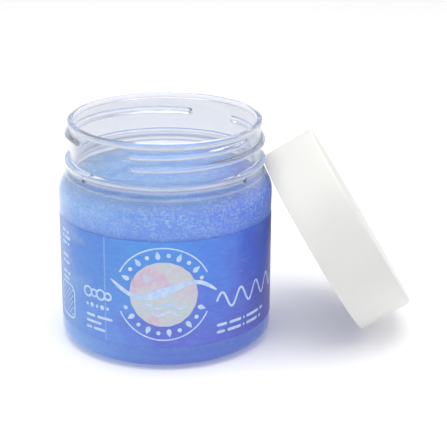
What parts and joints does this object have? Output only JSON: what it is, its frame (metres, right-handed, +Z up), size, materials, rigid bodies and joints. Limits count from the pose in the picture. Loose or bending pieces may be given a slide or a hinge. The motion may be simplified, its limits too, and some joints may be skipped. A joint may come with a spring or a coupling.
{
  "type": "open jar of body gel",
  "caption": "Open clear screw-top jar filled with pearly blue gel, with a wrap label round its side and its white cap leaning against the shoulder.",
  "frame": {"origin": "centre of the jar's flat base, on the surface it stands on", "axes": "+Z up along the jar's axis, +X from the jar towards its leaning cap"},
  "size_m": [0.1255, 0.0808, 0.0792],
  "materials": {
    "clear_plastic": "clear, polished",
    "blue_gel": "wet gloss with fine pearl",
    "label_film": "satin film",
    "white_plastic": "satin"
  },
  "bodies": {
    "root": {"jar": "clear_plastic", "gel": "blue_gel", "label": "label_film", "cap": "white_plastic"}
  },
  "joints": []
}
